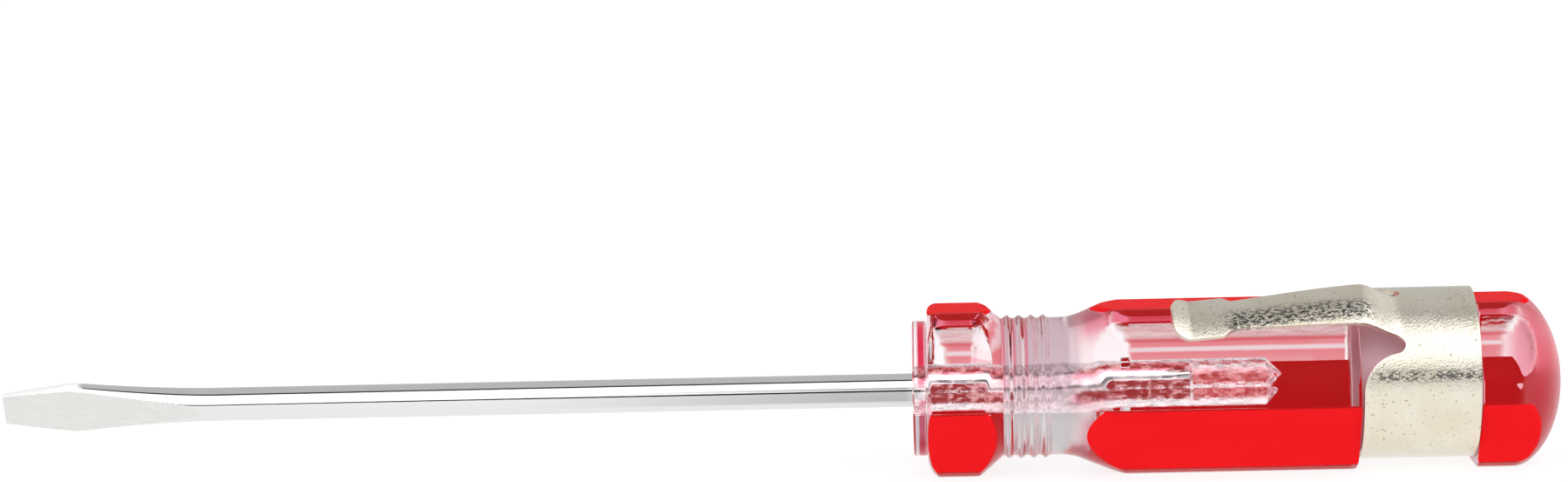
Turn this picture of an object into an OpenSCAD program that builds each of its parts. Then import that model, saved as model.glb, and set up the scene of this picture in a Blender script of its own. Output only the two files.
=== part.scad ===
// Pocket screwdriver with a slotted blade. A clear six-sided handle carries red flats, and a sprung
// metal clip turns round a groove near its end.
// X is the axis of the shank. The origin is the middle of the blade's end, +X runs to the handle and
// +Z is up. The tool lies on the lowest flat of its handle.

/* [Blade] */
// Length of blade that shows in front of the handle
blade_len = 76.2; // [60:0.1:100]
// Diameter of the round shank
shank_d = 2.8; // [2.4:0.05:3.4]
// Width of the blade's end
tip_w = 2.7; // [2:0.05:3.2]
// Thickness of the blade's end
tip_t = 0.5; // [0.3:0.05:0.8]
// Greatest width of the flared blade
flare_w = 4.5; // [3.6:0.05:6]
// Distance from the end to the greatest width
flare_at = 5.9; // [4:0.1:8]
// Length of the ground flats, from the end to the full round
ground_len = 17.5; // [12:0.1:24]
// Turn of the flats about the axis, 0 faces the front
blade_turn = -22; // [-90:1:90]
// Length of the tang inside the handle
tang_len = 23.1; // [19.5:0.1:26]
// Chamfer at the tang's end
tang_chamfer = 0.3; // [0.1:0.05:0.6]
// Distance from the handle's front to the tang's wings
wing_at = 17.1; // [14:0.1:18]
// Length of the wings
wing_len = 0.9; // [0.5:0.1:1.5]
// Width over the wings
wing_w = 3.8; // [3.6:0.1:4.4]
// Thickness of the wings
wing_t = 0.8; // [0.5:0.05:1.2]

/* [Handle bar] */
// Width across the six wide flats
bar_across_flats = 13.7; // [13.3:0.05:13.9]
// Width across the six narrow flats
bar_across_corners = 14.8; // [14.6:0.05:15]
// Thickness of the red layer on alternate wide flats
panel_t = 0.25; // [0.15:0.01:0.4]
// Clear rim left along each side of a red flat
panel_rim = 0.12; // [0.05:0.01:0.3]
// Depth of the front red flat under the other wide flats
front_flat_drop = 0.2; // [0:0.01:0.35]
// Turn of the front red flat about the axis, downwards
front_flat_turn = 3.7; // [0:0.1:5]

/* [Handle turning] */
// Offset of the turned front from the bar's axis, towards the front
front_shift = 0.4; // [0:0.01:0.6]
// Offset of the turned front from the bar's axis, upwards
front_lift = 0.2; // [0:0.01:0.3]
// Length of the front flange
flange_len = 1.1; // [0.8:0.05:2]
// Diameter of the front flange
flange_d = 11.2; // [10:0.05:12]
// Edge round of the front flange
flange_edge = 0.2; // [0.05:0.01:0.4]
// Length of the collar, from the flange to the start of its rear chamfer
collar_len = 4.2; // [3.5:0.1:7]
// Length of the collar's rear chamfer
collar_chamfer = 2.1; // [1.2:0.1:3]
// Number of thread ridges behind the collar
ridges = 4; // [2:1:6]
// Pitch of the ridges
ridge_pitch = 1; // [0.7:0.05:1.1]
// Height of a ridge over the neck
ridge_h = 0.24; // [0.1:0.01:0.4]
// Diameter of the neck
neck_d = 11.4; // [10.4:0.05:12]
// Plain length of neck behind the ridges
neck_len = 0.7; // [0.3:0.05:1]
// Radius where the neck sweeps up to the body
flare_fillet = 4.7; // [2:0.1:6]
// Angle of the sweep up to the body
flare_angle = 22.3; // [18:0.1:30]
// Length of the body, from the sweep's end to the clip's groove
body_len = 19; // [17:0.1:24]
// Chamfer at the body's rear end
body_chamfer = 0.35; // [0.1:0.05:0.7]
// Length of the end cap behind the groove
cap_len = 7; // [6:0.1:10]
// Edge round at the front of the end cap
cap_edge = 0.4; // [0.2:0.05:0.8]
// Depth of the domed end
dome_depth = 4.6; // [3:0.1:5]
// Diameter of the small flat on the domed end
end_flat_d = 4.3; // [2:0.1:6]

/* [Handle bore] */
// Depth of the blade's bore, without its drill point
bore_len = 29.1; // [27:0.1:34]
// Angle of the drill point
drill_angle = 92; // [80:1:120]
// Radial clearance of the tang in its bore
tang_fit = 0.02; // [0.01:0.005:0.05]

/* [Clip] */
// Thickness of the sheet
sheet_t = 0.42; // [0.3:0.01:0.5]
// Outer diameter of the ring
ring_d = 14.1; // [13.8:0.05:14.4]
// Width of the ring along the handle
ring_w = 9.45; // [9:0.05:11]
// Clearance of the ring at each side of its groove
ring_side_gap = 0.15; // [0.08:0.01:0.3]
// Diameter of the groove that the ring turns in
seat_d = 11.2; // [10.8:0.05:11.6]
// Clearance where the spring holds the ring against its groove
ring_fit = 0.05; // [0.02:0.01:0.08]
// Gap of the butt seam at the ring's back
seam_gap = 0.12; // [0.05:0.01:0.3]
// Place of the arm about the axis, from the front up towards the top
clip_turn = 52; // [0:1:90]
// Depth of the two notches beside the arm, from the ring's front edge
notch_depth = 3.4; // [2.5:0.05:4.5]
// Radius of a notch's bottom
notch_r = 0.75; // [0.4:0.05:1]
// Radius of the ring's front corners beside the notches
ear_r = 3.3; // [2:0.1:3.6]
// Height of the arm's hump over the handle's axis
hump_h = 9.6; // [9:0.05:10.5]
// Clearance of the arm's foot over the handle's corners
foot_gap = 0.15; // [0.12:0.01:0.25]
// Length of the riser from the ring to the hump
riser_len = 3.5; // [2:0.1:4]
// Length of the arm from the hump to the fold at its foot
reach_len = 13.8; // [12:0.1:16]
// Width of the arm at the hump
arm_root_w = 4.4; // [3.6:0.05:4.6]
// Width of the arm at its narrowest, before the foot
arm_neck_w = 3.1; // [2.4:0.05:3.6]
// Width of the foot
foot_w = 4.3; // [3.8:0.05:5]
// Length of the foot, from the fold to its shoulders
foot_len = 2.6; // [2:0.05:4]
// Length of the foot's sloping shoulders
shoulder_len = 0.8; // [0.5:0.05:1.5]
// Length of the lip that turns outwards at the end
lip_len = 1.5; // [1:0.05:2.5]
// Angle of the lip
lip_angle = 23; // [10:1:45]
// Radius of the lip's corners
lip_r = 1.3; // [0.6:0.05:1.8]
// Radius of the arm's crown across its width
arm_crown_r = 8.5; // [7.5:0.5:30]
// Clearance at the arm's root, where it bends
root_gap = 0.02; // [0.01:0.005:0.05]

/* [Hidden] */
$fn = 96;

// Overrun of the cuts
over = 0.5;

// Six-sided bar with its corners cut, seen along the axis. Its twelve flats are counted from the
// lowest, and the even ones are wide.
flat_r = bar_across_flats / 2;
narrow_r = bar_across_corners / 2;
bar_half = (narrow_r - flat_r * cos(30)) / sin(30);
corner_r = sqrt(flat_r * flat_r + bar_half * bar_half);
front_flat = 10;
function flat_angle(j) = 30 * j + (j == front_flat ? front_flat_turn : 0);
function flat_at(j) = j % 2 != 0 ? narrow_r : j == front_flat ? flat_r - front_flat_drop : flat_r;
// Place along flat j of its edge with the flat n places on
function edge_at(j, n) = let (turn = flat_angle(j + n) - flat_angle(j))
    (flat_at(j + n) - flat_at(j) * cos(turn)) / sin(turn);
bar_points = [for (j = [0:11]) let (a = flat_angle(j), d = flat_at(j), t = edge_at(j, 1))
    [d * cos(a) - t * sin(a), d * sin(a) + t * cos(a)]];

// Stations of the turned profile along X
flange_r = flange_d / 2;
neck_r = neck_d / 2;
seat_r = seat_d / 2;
face_x = blade_len;
flange_x = face_x + flange_len;
// The turned rounds reach this far past the bar's corners, so that they cross them
turn_margin = 0.08;
turn_r = corner_r + turn_margin;
out_r = turn_r + front_shift + over;
shoulder_r = turn_r + front_shift - flange_r;
collar_x = flange_x + collar_len;
ridge_x = collar_x + collar_chamfer;
sweep_x = ridge_x + ridges * ridge_pitch + neck_len;
sweep_rise = turn_r - neck_r - flare_fillet * (1 - cos(flare_angle));
body_x = sweep_x + flare_fillet * sin(flare_angle) + sweep_rise / tan(flare_angle);
groove_x = body_x + body_len;
cap_x = groove_x + ring_w + 2 * ring_side_gap;
end_x = cap_x + cap_len;
split_x = body_x + body_len / 2;

end_r = end_flat_d / 2;
dome_axis = dome_depth / sqrt(1 - pow(end_r / turn_r, 2));
dome_end = acos(end_r / turn_r);

// Steps of each rounded stretch
arc_steps = 7;
ridge_steps = 8;
dome_steps = 10;

function arc(cx, cr, rad, a0, a1, n) = [for (i = [0:n]) let (a = a0 + (a1 - a0) * i / n) [cr + rad * sin(a), cx + rad * cos(a)]];

front_points = concat(
    [[0, face_x], [flange_r - flange_edge, face_x]],
    [[flange_r, face_x + flange_edge], [flange_r, flange_x]],
    // Rounded front shoulder of the collar
    arc(flange_x + shoulder_r, flange_r, shoulder_r, 180, 90, arc_steps),
    [[out_r, flange_x + shoulder_r]],
    [[out_r, collar_x - (out_r - turn_r) * collar_chamfer / (turn_r - neck_r)], [neck_r, ridge_x]],
    // Thread ridges
    [for (i = [1:ridges * ridge_steps - 1])
        [neck_r + ridge_h * (1 - cos(360 * i / ridge_steps)) / 2, ridge_x + ridge_pitch * i / ridge_steps]],
    [[neck_r, ridge_x + ridges * ridge_pitch]],
    // Sweep up to the body
    arc(sweep_x, neck_r + flare_fillet, -flare_fillet, 90, 90 + flare_angle, arc_steps),
    [[out_r, body_x + (out_r - turn_r) / tan(flare_angle)], [out_r, split_x + over], [0, split_x + over]]);

rear_points = concat(
    [[0, split_x], [out_r, split_x]],
    [[out_r, groove_x - body_chamfer - (out_r - turn_r)], [turn_r - body_chamfer, groove_x]],
    // Groove of the clip
    [[seat_r, groove_x], [seat_r, cap_x]],
    arc(cap_x + cap_edge, turn_r - cap_edge, cap_edge, 180, 90, arc_steps),
    [[out_r, cap_x + cap_edge], [out_r, end_x - dome_depth]],
    [for (i = [0:dome_steps]) let (a = dome_end * i / dome_steps)
        [turn_r * cos(a), end_x - dome_depth + dome_axis * sin(a)]],
    [[0, end_x]]);

module along_x() { rotate([0, 90, 0]) children(); }

module turned() {
    translate([-front_lift, -front_shift, 0]) rotate_extrude() polygon(front_points);
    rotate_extrude() polygon(rear_points);
}

// One red flat's slab
module slab(j, x0, x1, outside) {
    low = edge_at(j, -1) + panel_rim;
    high = edge_at(j, 1) - panel_rim;
    rotate([0, 0, flat_angle(j)])
        translate([flat_at(j) - panel_t, low, x0])
            cube([panel_t + outside, high - low, x1 - x0]);
}

module tang_bore() {
    translate([0, 0, face_x - over]) cylinder(r = shank_d / 2 + tang_fit, h = over + bore_len);
    translate([0, 0, face_x + bore_len])
        cylinder(r1 = shank_d / 2 + tang_fit, r2 = 0, h = (shank_d / 2 + tang_fit) / tan(drill_angle / 2));
}

// Pair of wings that stop the tang from turning, with a clearance all round
module wings(clear) {
    rotate([0, 0, 180 - blade_turn])
        translate([-wing_w / 2 - clear, -wing_t / 2 - clear, face_x + wing_at - clear])
            cube([wing_w + 2 * clear, wing_t + 2 * clear, wing_len + 2 * clear]);
}

module handle() {
    color([0.93, 0.9, 0.92, 0.4]) along_x() difference() {
        intersection() {
            translate([0, 0, face_x]) linear_extrude(end_x - face_x) polygon(bar_points);
            turned();
        }
        for (j = [2, 6, 10]) slab(j, face_x, end_x, over);
        tang_bore();
        wings(tang_fit);
    }
}

module panel(j, x0, x1) {
    color([0.9, 0.1, 0.13]) along_x() intersection() {
        slab(j, x0, x1, 0);
        turned();
    }
}

// Ground blade. A section is an ellipse of half width a and half thickness of the shank, cut by two
// flats that close in towards the end. Its points run up one side arc and down the other.
shank_r = shank_d / 2;
side_steps = 10;
flare_power = 1.6;
// The ground part ends inside the round shank, this share smaller
join_share = 0.005;
core_r = shank_r * (1 - join_share);
blade_stations = concat(
    [for (i = [0:4]) flare_at * i / 5],
    [for (i = [0:14]) flare_at + (ground_len - flare_at) * i / 14],
    [ground_len + over]);
function half_w(x) = x < flare_at
    ? (tip_w + (flare_w - tip_w) * x / flare_at) / 2
    : core_r + (flare_w / 2 - core_r) * pow(max(0, 1 - (x - flare_at) / (ground_len - flare_at)), flare_power);
function half_t(x) = tip_t / 2 + (shank_r - tip_t / 2) * x / ground_len;
function cut_angle(x) = min(88, asin(min(1, half_t(x) / core_r)));
function blade_ring(x) = [for (s = [0, 1]) for (i = [0:side_steps])
    let (a = s * 180 + cut_angle(x) * (2 * i / side_steps - 1)) [half_w(x) * cos(a), core_r * sin(a), x]];

ring_n = 2 * (side_steps + 1);
blade_rings = len(blade_stations);
blade_vertices = [for (x = blade_stations) each blade_ring(x)];
blade_faces = concat(
    [[for (j = [0:ring_n - 1]) j]],
    [for (i = [0:blade_rings - 2]) for (j = [0:ring_n - 1]) let (p = i * ring_n + j, q = i * ring_n + (j + 1) % ring_n)
        each [[p, p + ring_n, q], [q, p + ring_n, q + ring_n]]],
    [[for (j = [ring_n - 1:-1:0]) (blade_rings - 1) * ring_n + j]]);

module blade() {
    color([0.78, 0.79, 0.8]) along_x() {
        rotate([0, 0, 180 - blade_turn]) polyhedron(blade_vertices, blade_faces);
        translate([0, 0, ground_len])
            cylinder(r = shank_r, h = face_x + tang_len - tang_chamfer - ground_len);
        translate([0, 0, face_x + tang_len - tang_chamfer])
            cylinder(r1 = shank_r, r2 = shank_r - tang_chamfer, h = tang_chamfer);
        wings(0);
    }
}

// Clip. The arm pulls the ring towards itself, so the ring's far side bears in the groove.
ring_r = ring_d / 2;
ring_in_r = ring_r - sheet_t;
ring_shift = ring_in_r - seat_r - ring_fit;
ring_x = groove_x + ring_side_gap;
root_x = ring_x + notch_depth;
root_h = ring_r + ring_shift;
arm_half = arm_root_w / 2;
notch_c = arm_half + notch_r;

// Turns a clip part that is modelled with its arm along local +Y to its place about the axis
module clip_place() { along_x() rotate([0, 0, 180 - clip_turn]) children(); }

// Front edge of the ring beside the arm, from the arm's middle outwards. The first number of a point
// is its distance round the ring, the second its place along the axis.
notch_sweep = 70;
ear_c = ear_r + notch_c + notch_r * cos(90 - notch_sweep);
notch_side = concat(
    [[0, root_x]],
    [for (i = [0:arc_steps]) let (a = 90 - notch_sweep * i / arc_steps)
        [notch_c + notch_r * cos(a), root_x - notch_r + notch_r * sin(a)]],
    [for (i = [0:arc_steps]) let (a = 180 + 90 * i / arc_steps)
        [ear_c + ear_r * cos(a), ring_x + ear_r + ear_r * sin(a)]],
    [[ear_c, ring_x - over]]);
function wrapped(t) = ring_r * sin(t / ring_r * 180 / PI);
notch_points = concat(
    [for (p = notch_side) [wrapped(p[0]), p[1]]],
    [for (i = [len(notch_side) - 1:-1:1]) [-wrapped(notch_side[i][0]), notch_side[i][1]]]);

module clip_ring() {
    color([0.76, 0.75, 0.72]) clip_place() difference() {
        translate([0, ring_shift, ring_x]) difference() {
            cylinder(r = ring_r, h = ring_w);
            translate([0, 0, -over]) cylinder(r = ring_in_r, h = ring_w + 2 * over);
        }
        // Outline of the notches and of the arm's root, cut through the near side only
        translate([0, ring_shift + ring_r + over, 0]) rotate([90, 0, 0])
            linear_extrude(ring_r + over) polygon(notch_points);
        // Butt seam at the back
        translate([-seam_gap / 2, ring_shift - ring_r - over, ring_x - over])
            cube([seam_gap, ring_r, ring_w + 2 * over]);
    }
}

// Arm. Its outer middle line runs from the root over the hump to the fold, then out along the lip.
foot_h = corner_r + foot_gap + sheet_t;
crest_x = root_x - riser_len;
fold_x = crest_x - reach_len;
riser_steps = 10;
reach_steps = 22;
// Share of the arm's fall that eases out at the fold. The rest falls with a power of the distance.
ease_share = 0.32;
fall_power = 1.3;
lip_steps = 6;
cross_steps = 6;

// Height of the outer middle line over the axis between the root and the fold, with its slope
function ease(u) = u * u * (3 - 2 * u);
function reach_h(u) = hump_h - (hump_h - foot_h) * (ease_share * ease(u) + (1 - ease_share) * pow(u, fall_power));
function arm_line(x) = x > crest_x
    ? root_h + (hump_h - root_h) * ease((root_x - x) / riser_len)
    : reach_h((crest_x - x) / reach_len);
arm_dx = riser_len / 200;
function arm_slope(x) = atan2(arm_line(x - arm_dx) - arm_line(x + arm_dx), 2 * arm_dx);

// Half width along the arm, d is the distance from the root
neck_d0 = riser_len + reach_len - foot_len - shoulder_len;
function root_spread(x) = x > root_x - notch_r
    ? notch_c - sqrt(max(0, notch_r * notch_r - pow(x - root_x + notch_r, 2))) : notch_c - notch_r;
function arm_w(x) = let (d = root_x - x)
    x > crest_x ? max(arm_half, root_spread(x))
    : d < neck_d0 ? arm_half + (arm_neck_w / 2 - arm_half) * (d - riser_len) / (neck_d0 - riser_len)
    : arm_neck_w / 2 + (foot_w - arm_neck_w) / 2 * min(1, (d - neck_d0) / shoulder_len);
function lip_w(s) = let (e = s - (lip_len - lip_r))
    e > 0 ? foot_w / 2 - lip_r + sqrt(max(0, lip_r * lip_r - e * e)) : foot_w / 2;

// Stations: [x, height, slope, half width, crown radius]
arm_stations = concat(
    [for (i = [0:riser_steps]) let (x = root_x - riser_len * i / riser_steps)
        [x - (i == 0 ? root_gap : 0), arm_line(x), i == 0 ? 0 : arm_slope(x), arm_w(x),
         ring_r + (arm_crown_r - ring_r) * i / riser_steps]],
    [for (i = [1:reach_steps]) let (x = crest_x - reach_len * i / reach_steps)
        [x, arm_line(x), i == reach_steps ? lip_angle / 2 + arm_slope(x + arm_dx) / 2 : arm_slope(x),
         arm_w(x), arm_crown_r]],
    [for (i = [1:lip_steps]) let (s = lip_len * sin(90 * i / lip_steps))
        [fold_x - s * cos(lip_angle), foot_h + s * sin(lip_angle), lip_angle, lip_w(s), arm_crown_r]]);

// A point of the arm at cross share v from -1 to 1, depth below its outer face
function arm_point(st, v, depth) = let (w = v * st[3], sag = st[4] - sqrt(st[4] * st[4] - w * w),
        side = depth * w / st[4], down = sag + depth * sqrt(1 - pow(w / st[4], 2)))
    [w - side, st[1] - down * cos(st[2]), st[0] - down * sin(st[2])];

cross_n = cross_steps + 1;
arm_n = len(arm_stations);
arm_vertices = concat(
    [for (st = arm_stations) for (j = [0:cross_steps]) arm_point(st, 2 * j / cross_steps - 1, 0)],
    [for (st = arm_stations) for (j = [0:cross_steps]) arm_point(st, 2 * j / cross_steps - 1, sheet_t)]);
arm_half_n = arm_n * cross_n;
arm_faces = concat(
    [for (i = [0:arm_n - 2]) for (j = [0:cross_steps - 1]) let (p = i * cross_n + j)
        each [[p, p + 1, p + cross_n], [p + 1, p + 1 + cross_n, p + cross_n],
              [arm_half_n + p, arm_half_n + p + cross_n, arm_half_n + p + 1],
              [arm_half_n + p + 1, arm_half_n + p + cross_n, arm_half_n + p + 1 + cross_n]]],
    [for (i = [0:arm_n - 2]) let (p = i * cross_n)
        each [[p, p + cross_n, arm_half_n + p], [p + cross_n, arm_half_n + p + cross_n, arm_half_n + p]]],
    [for (i = [0:arm_n - 2]) let (p = i * cross_n + cross_steps)
        each [[p, arm_half_n + p, p + cross_n], [p + cross_n, arm_half_n + p, arm_half_n + p + cross_n]]],
    [for (j = [0:cross_steps - 1]) each [[j, arm_half_n + j, j + 1], [j + 1, arm_half_n + j, arm_half_n + j + 1]]],
    [for (j = [0:cross_steps - 1]) let (p = (arm_n - 1) * cross_n + j)
        each [[p, p + 1, arm_half_n + p], [p + 1, arm_half_n + p + 1, arm_half_n + p]]]);

module clip_arm() { color([0.78, 0.77, 0.74]) clip_place() polyhedron(arm_vertices, arm_faces); }

handle();
blade();
clip_ring();
clip_arm();
panel(6, face_x, ridge_x);  // collar_panel_top
panel(10, face_x, ridge_x);  // collar_panel_front
panel(2, face_x, ridge_x);  // collar_panel_back
panel(6, sweep_x, groove_x);  // body_panel_top
panel(10, sweep_x, groove_x);  // body_panel_front
panel(2, sweep_x, groove_x);  // body_panel_back
panel(6, cap_x, end_x);  // cap_panel_top
panel(10, cap_x, end_x);  // cap_panel_front
panel(2, cap_x, end_x);  // cap_panel_back
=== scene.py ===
import bmesh
import bpy
import numpy as np
from mathutils import Matrix, Vector


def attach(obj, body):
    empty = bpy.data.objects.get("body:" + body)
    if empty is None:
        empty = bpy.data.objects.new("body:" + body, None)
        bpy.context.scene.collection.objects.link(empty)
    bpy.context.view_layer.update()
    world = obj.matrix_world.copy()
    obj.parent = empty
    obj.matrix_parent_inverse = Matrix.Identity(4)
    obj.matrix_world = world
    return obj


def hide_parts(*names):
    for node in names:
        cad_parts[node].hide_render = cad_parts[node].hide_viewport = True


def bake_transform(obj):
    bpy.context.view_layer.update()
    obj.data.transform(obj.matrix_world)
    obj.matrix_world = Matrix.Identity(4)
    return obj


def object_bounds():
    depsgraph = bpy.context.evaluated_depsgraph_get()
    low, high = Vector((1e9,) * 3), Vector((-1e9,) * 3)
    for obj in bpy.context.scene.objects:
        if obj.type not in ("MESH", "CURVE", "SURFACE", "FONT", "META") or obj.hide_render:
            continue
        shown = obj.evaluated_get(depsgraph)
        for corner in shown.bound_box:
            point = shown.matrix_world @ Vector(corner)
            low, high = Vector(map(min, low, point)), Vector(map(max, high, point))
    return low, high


# Pocket screwdriver with a slotted blade, a clear handle with red flats and a sprung pocket clip.
# Lengths are in millimetres here and become metres when a mesh is made. X runs from the blade's end
# to the handle, and an angle about X is counted from the front (-Y) up towards the top (+Z).

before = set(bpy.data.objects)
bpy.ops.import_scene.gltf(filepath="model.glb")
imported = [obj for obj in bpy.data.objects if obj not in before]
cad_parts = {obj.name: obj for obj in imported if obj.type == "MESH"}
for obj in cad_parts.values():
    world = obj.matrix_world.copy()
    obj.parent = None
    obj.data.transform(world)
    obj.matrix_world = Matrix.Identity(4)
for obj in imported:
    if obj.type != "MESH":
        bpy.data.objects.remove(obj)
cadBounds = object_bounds()
scene = bpy.context.scene
millimetre = 0.001
print("frame loaded")


# Mesh helpers

def makeMesh(name, points, faces):
    mesh = bpy.data.meshes.new(name)
    mesh.from_pydata((np.asarray(points) * millimetre).tolist(), [], faces)
    mesh.polygons.foreach_set("use_smooth", np.full(len(mesh.polygons), True))
    piece = bpy.data.objects.new(name, mesh)
    scene.collection.objects.link(piece)
    return piece


# Faces of a grid with the given rows and columns, column fastest; a closed grid joins its last
# column to its first
def gridFaces(rows, columns, closed):
    across = columns if closed else columns - 1
    row, column = np.meshgrid(np.arange(rows - 1), np.arange(across), indexing="ij")
    after = (column + 1) % columns
    near, far = row * columns, (row + 1) * columns
    return np.stack([near + column, near + after, far + after, far + column], -1).reshape(-1, 4)


# Points and faces of a closed grid with a fan at each end, to the middle of its first and last row
def cappedGrid(points, rows, columns):
    middles = [points[:columns].mean(0), points[-columns:].mean(0)]
    total = len(points)
    ring = np.arange(columns)
    after = (ring + 1) % columns
    last = (rows - 1) * columns
    start = np.stack([np.full(columns, total), after, ring], -1)
    end = np.stack([np.full(columns, total + 1), last + ring, last + after], -1)
    faces = gridFaces(rows, columns, True).tolist() + start.tolist() + end.tolist()
    return np.vstack([points, middles]), faces


# A body round the X axis: radii is a grid of distances from the axis, one row for each place along X
def bodyRound(name, along, angles, radii):
    x = np.broadcast_to(along[:, None], radii.shape)
    points = np.stack([x, -radii * np.cos(angles), radii * np.sin(angles)], -1).reshape(-1, 3)
    piece = makeMesh(name, *cappedGrid(points, *radii.shape))
    turnOutwards(piece)
    return piece


# Merges points that fall together and turns the faces outwards. An open sheet's outer side is the one
# that looks away from the X axis.
def turnOutwards(piece, merge=0.00001, openSheet=False):
    mesh = bmesh.new()
    mesh.from_mesh(piece.data)
    bmesh.ops.remove_doubles(mesh, verts=mesh.verts, dist=merge * millimetre)
    bmesh.ops.recalc_face_normals(mesh, faces=mesh.faces)
    if openSheet:
        sides = [face.normal.yz.dot(face.calc_center_median().yz) for face in mesh.faces]
        if np.sign(sides).sum() < 0:
            bmesh.ops.reverse_faces(mesh, faces=mesh.faces)
    mesh.to_mesh(piece.data)
    mesh.free()


def applyModifiers(piece):
    graph = bpy.context.evaluated_depsgraph_get()
    finished = bpy.data.meshes.new_from_object(piece.evaluated_get(graph))
    piece.modifiers.clear()
    piece.data = finished
    piece.data.polygons.foreach_set("use_smooth", np.full(len(piece.data.polygons), True))


# Places of a piece's points
def pointsOf(piece):
    places = np.empty(len(piece.data.vertices) * 3)
    piece.data.vertices.foreach_get("co", places)
    return places.reshape(-1, 3) / millimetre


# One number for each point, read by the materials
def mark(piece, name, values):
    attribute = piece.data.attributes.new(name, "FLOAT", "POINT")
    attribute.data.foreach_set("value", values.astype(np.float32))


def dress(piece, material):
    piece.data.materials.clear()
    piece.data.materials.append(material)


# Shares from 0 to 1

def smoothStep(share):
    share = np.clip(share, 0, 1)
    return share * share * (3 - 2 * share)


# A straight ramp over the length soft
def rise(value, start, soft):
    return np.clip((value - start) / soft, 0, 1)


# 1 up to half away from the middle, then down to 0 over the length soft
def band(value, middle, half, soft):
    return np.clip(1 - (np.abs(value - middle) - half) / soft, 0, 1)


# Smallest of several surfaces with its creases rounded: a power mean of high negative power
def softLeast(power, *surfaces):
    least = np.minimum.reduce(np.broadcast_arrays(*surfaces))
    total = sum((least / surface) ** power for surface in surfaces)
    return least * total ** (-1 / power)


# Nodes of a material, or of the light round the scene

class Nodes:
    def __init__(self, owner, shader="Principled BSDF"):
        owner.use_nodes = True
        self.owner = owner
        self.tree = owner.node_tree
        self.shader = self.tree.nodes[shader]

    def add(self, kind, **values):
        node = self.tree.nodes.new(kind)
        for key, value in values.items():
            if key in node.inputs:
                node.inputs[key].default_value = value
            else:
                setattr(node, key, value)
        return node

    def join(self, source, target):
        self.tree.links.new(source, target)

    def connect(self, node, **values):
        for key, value in values.items():
            if isinstance(value, bpy.types.NodeSocket):
                self.join(value, node.inputs[key.replace("_", " ")])
            else:
                node.inputs[key.replace("_", " ")].default_value = value

    # Sets or joins the shader's sockets
    def shade(self, **values):
        self.connect(self.shader, **values)

    def attribute(self, name, output="Fac"):
        return self.add("ShaderNodeAttribute", attribute_name=name).outputs[output]

    # Scale is counted per metre, along X, Y and Z
    def noise(self, scale, detail=3.0, roughness=0.5):
        coordinates = self.add("ShaderNodeTexCoord")
        mapping = self.add("ShaderNodeMapping", Scale=scale)
        self.join(coordinates.outputs["Object"], mapping.inputs["Vector"])
        node = self.add("ShaderNodeTexNoise", Scale=1.0, Detail=detail, Roughness=roughness)
        self.join(mapping.outputs["Vector"], node.inputs["Vector"])
        return node.outputs["Fac"]

    def between(self, value, low, high, toLow, toHigh):
        node = self.add("ShaderNodeMapRange")
        self.connect(node, Value=value, From_Min=low, From_Max=high, To_Min=toLow, To_Max=toHigh)
        return node.outputs["Result"]

    # Spreads the usual range of a noise over two values
    def spread(self, noise, low, high):
        return self.between(noise, 0.3, 0.7, low, high)

    # Mix of two colours, plain or joined, or of two joined numbers
    def mix(self, share, first, second, kind="RGBA"):
        node = self.add("ShaderNodeMix", data_type=kind)
        low, out = {"FLOAT": (2, 0), "RGBA": (6, 2)}[kind]
        for place, value in ((low, first), (low + 1, second)):
            if isinstance(value, bpy.types.NodeSocket):
                self.join(value, node.inputs[place])
            else:
                node.inputs[place].default_value = (*value, 1)
        self.join(share, node.inputs["Factor"])
        return node.outputs[out]

    # Two tones of a colour, mixed by a noise
    def tones(self, noise, first, second):
        return self.mix(self.between(noise, 0.35, 0.65, 0, 1), first, second)

    def calculate(self, operation, first, second):
        node = self.add("ShaderNodeMath", operation=operation)
        for place, value in ((0, first), (1, second)):
            if isinstance(value, bpy.types.NodeSocket):
                self.join(value, node.inputs[place])
            else:
                node.inputs[place].default_value = value
        return node.outputs["Value"]

    def plus(self, first, second):
        return self.calculate("ADD", first, second)

    def times(self, first, second):
        return self.calculate("MULTIPLY", first, second)

    def bump(self, height, distance, strength):
        node = self.add("ShaderNodeBump", Strength=strength, Distance=distance * millimetre)
        self.join(height, node.inputs["Height"])
        self.shade(Normal=node.outputs["Normal"])


def newMaterial(name):
    return Nodes(bpy.data.materials.new(name))


# Bar of the handle: six wide flats and six narrow ones between them

barSizes = {
    "acrossFlats": 13.7,
    "acrossCorners": 14.8,
    "frontDrop": 0.2,
    "frontTurn": 3.7,
    "creasePower": 200,
    "leastCosine": 0.3,      # a flat counts where the cosine of the angle to it is above this
    "facing": 1.2,           # and a red one's bed within these radians
    "panelDepth": 0.25,
    "panelRim": 0.12,        # clear strip beside a red flat
    "panelBed": 0.12,        # depth of the clear surface under it
    "panelEdge": 0.03,
    "sampleStep": 5,         # degrees between samples, and closer ones at the corners
    "cornerSpan": 0.9,
    "cornerSamples": 9,
    "rimSplit": 0.06,
    "glintSamples": (174.6, 180.5, 0.8),
    "leastStep": 0.05,
}
flatRadius = barSizes["acrossFlats"] / 2
narrowRadius = barSizes["acrossCorners"] / 2
flatHalf = (narrowRadius - flatRadius * np.cos(np.pi / 6)) / np.sin(np.pi / 6)
cornerRadius = np.hypot(flatRadius, flatHalf)
redFlats = (3, 7, 11)


# Turn and distance of a flat. The twelve are counted from the front and the odd ones are wide. The
# last one, red, lies deeper than the others and is turned a little.
def barFlat(k):
    k = k % 12
    front = k == 11
    reach = flatRadius if k % 2 else narrowRadius
    return np.radians(30 * k - front * barSizes["frontTurn"]), reach - front * barSizes["frontDrop"]


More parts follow.
